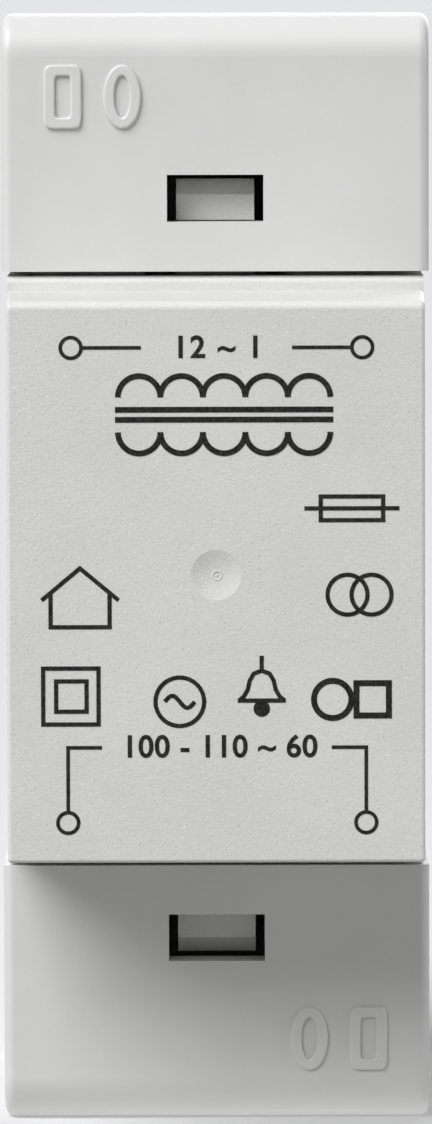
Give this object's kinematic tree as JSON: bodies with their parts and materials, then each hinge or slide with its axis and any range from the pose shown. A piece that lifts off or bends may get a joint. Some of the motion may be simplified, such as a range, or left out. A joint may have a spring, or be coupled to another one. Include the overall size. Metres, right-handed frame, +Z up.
{
  "type": "doorbell transformer",
  "caption": "Bell transformer in a rail-mounted plastic housing with a raised nose, clip-on terminal covers, rising clamp terminals and a sprung rail latch.",
  "frame": {"origin": "middle of the face that seats on the rail's front flanges", "axes": "+Z up along the height, +X to the right seen from the front, +Y out of the back towards the rail"},
  "size_m": [0.035, 0.0635, 0.091],
  "materials": {
    "housing_plastic": "fine spark-eroded grain",
    "cover_plastic": "smooth satin",
    "bobbin_plastic": "satin",
    "core_steel": "varnished sheet edges",
    "winding_copper": "enamelled",
    "tape_film": "glossy film",
    "lead_insulation": "extruded sleeve",
    "fuse_metal": "tinned can",
    "tag_brass": "stamped",
    "clamp_steel": "zinc plated",
    "spring_steel": "drawn wire"
  },
  "bodies": {
    "housing": {"rear_housing": "housing_plastic", "front_housing": "housing_plastic", "top_terminal_cover": "cover_plastic", "bottom_terminal_cover": "cover_plastic", "rail_latch_spring": "spring_steel", "e_laminations": "core_steel", "i_laminations": "core_steel", "bobbin": "bobbin_plastic", "primary_winding": "winding_copper", "secondary_winding": "winding_copper", "primary_tape": "tape_film", "secondary_tape": "tape_film", "thermal_fuse": "fuse_metal", "primary_lead": "lead_insulation", "secondary_lead_left": "lead_insulation", "secondary_lead_right": "lead_insulation", "secondary_left_tag": "tag_brass", "secondary_right_tag": "tag_brass", "primary_left_tag": "tag_brass", "primary_right_tag": "tag_brass"},
    "latch": {"rail_latch": "housing_plastic"},
    "secondary_left_screw": {"secondary_left_screw": "clamp_steel"},
    "secondary_left_cage": {"secondary_left_cage": "clamp_steel"},
    "secondary_right_screw": {"secondary_right_screw": "clamp_steel"},
    "secondary_right_cage": {"secondary_right_cage": "clamp_steel"},
    "primary_left_screw": {"primary_left_screw": "clamp_steel"},
    "primary_left_cage": {"primary_left_cage": "clamp_steel"},
    "primary_right_screw": {"primary_right_screw": "clamp_steel"},
    "primary_right_cage": {"primary_right_cage": "clamp_steel"}
  },
  "joints": [
    {"name": "latch_slide", "type": "slide", "parent": "housing", "child": "latch", "axis": [0, 0, -1], "range_m": [0, 0.0035], "stiffness_N_per_m": 300, "springref_m": -0.004, "deforming": ["rail_latch_spring"]},
    {"name": "secondary_left_screw_turn", "type": "hinge", "parent": "housing", "child": "secondary_left_screw", "pos_m": [-0.0104, -0.034, 0.034], "axis": [0, 1, 0], "range_deg": [0, 2160]},
    {"name": "secondary_left_cage_rise", "type": "slide", "parent": "housing", "child": "secondary_left_cage", "axis": [0, -1, 0], "range_m": [0, 0.0036]},
    {"name": "secondary_right_screw_turn", "type": "hinge", "parent": "housing", "child": "secondary_right_screw", "pos_m": [0.0104, -0.034, 0.034], "axis": [0, 1, 0], "range_deg": [0, 2160]},
    {"name": "secondary_right_cage_rise", "type": "slide", "parent": "housing", "child": "secondary_right_cage", "axis": [0, -1, 0], "range_m": [0, 0.0036]},
    {"name": "primary_left_screw_turn", "type": "hinge", "parent": "housing", "child": "primary_left_screw", "pos_m": [-0.0104, -0.034, -0.034], "axis": [0, 1, 0], "range_deg": [0, 2160]},
    {"name": "primary_left_cage_rise", "type": "slide", "parent": "housing", "child": "primary_left_cage", "axis": [0, -1, 0], "range_m": [0, 0.0036]},
    {"name": "primary_right_screw_turn", "type": "hinge", "parent": "housing", "child": "primary_right_screw", "pos_m": [0.0104, -0.034, -0.034], "axis": [0, 1, 0], "range_deg": [0, 2160]},
    {"name": "primary_right_cage_rise", "type": "slide", "parent": "housing", "child": "primary_right_cage", "axis": [0, -1, 0], "range_m": [0, 0.0036]}
  ],
  "couplings": [
    {"joint": "secondary_left_screw_turn", "follows": "secondary_left_cage_rise", "rad_per_m": 10472},
    {"joint": "secondary_right_screw_turn", "follows": "secondary_right_cage_rise", "rad_per_m": 10472},
    {"joint": "primary_left_screw_turn", "follows": "primary_left_cage_rise", "rad_per_m": 10472},
    {"joint": "primary_right_screw_turn", "follows": "primary_right_cage_rise", "rad_per_m": 10472}
  ]
}
